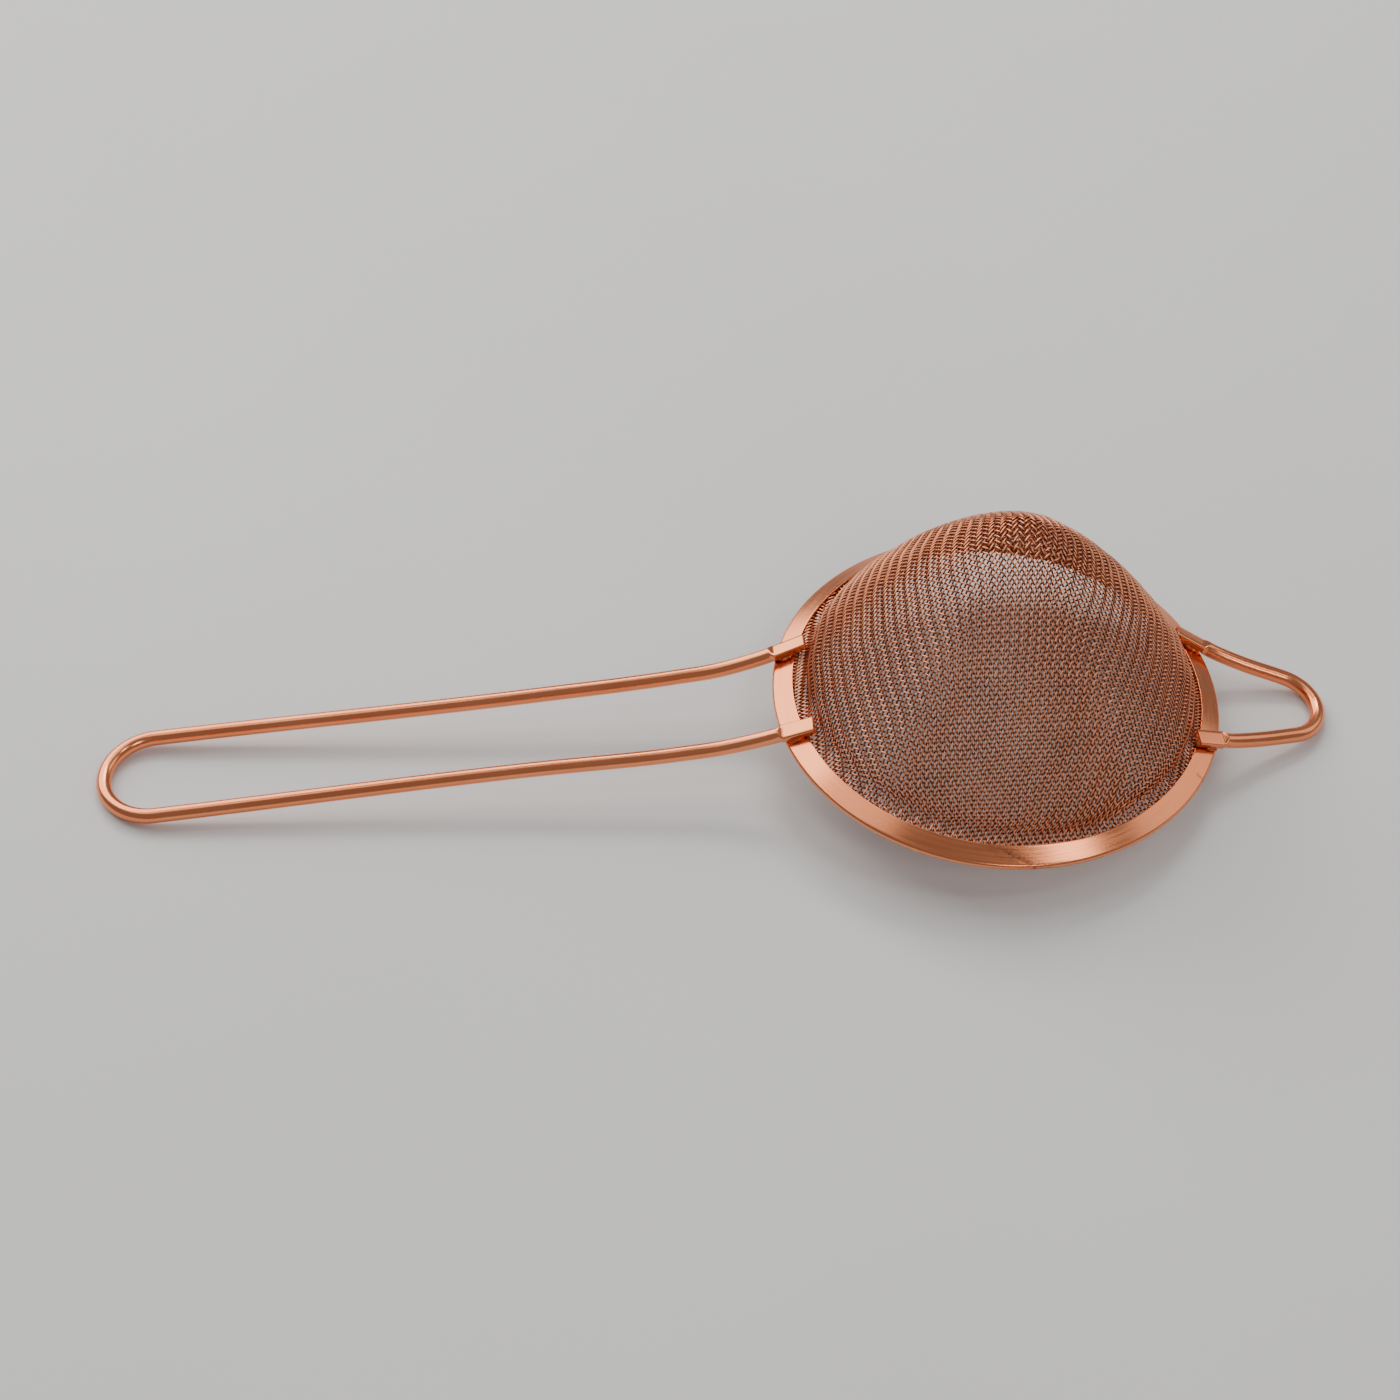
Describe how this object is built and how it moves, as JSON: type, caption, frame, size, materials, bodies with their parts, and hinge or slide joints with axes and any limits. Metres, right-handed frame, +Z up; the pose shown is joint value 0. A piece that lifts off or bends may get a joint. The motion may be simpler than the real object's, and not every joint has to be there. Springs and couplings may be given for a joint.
{
  "type": "conical strainer",
  "caption": "Hand-held conical strainer of woven wire cloth in a folded sheet rim, with a hairpin wire handle and a small wire rest loop, lying upside down with the cone up.",
  "frame": {"origin": "centre of the rim's folded outer edge, on the bowl's axis", "axes": "+Z up from the table the strainer lies on, +X from the handle towards the rest loop, XZ is the plane of symmetry; the bowl's axis leans from +Z towards +X by 4.84 degrees"},
  "size_m": [0.2427, 0.088, 0.0583],
  "materials": {
    "mesh_cone": "copper-plated woven wire",
    "rim": "polished copper plating",
    "handle_wire": "polished copper plating",
    "rest_wire": "polished copper plating",
    "handle_weld_left": "copper-plated weld metal",
    "handle_weld_right": "copper-plated weld metal",
    "rest_weld_left": "copper-plated weld metal",
    "rest_weld_right": "copper-plated weld metal"
  },
  "bodies": {
    "root": {"mesh_cone": "mesh_cone", "rim": "rim", "handle_wire": "handle_wire", "rest_wire": "rest_wire", "handle_weld_left": "handle_weld_left", "handle_weld_right": "handle_weld_right", "rest_weld_left": "rest_weld_left", "rest_weld_right": "rest_weld_right"}
  },
  "joints": []
}
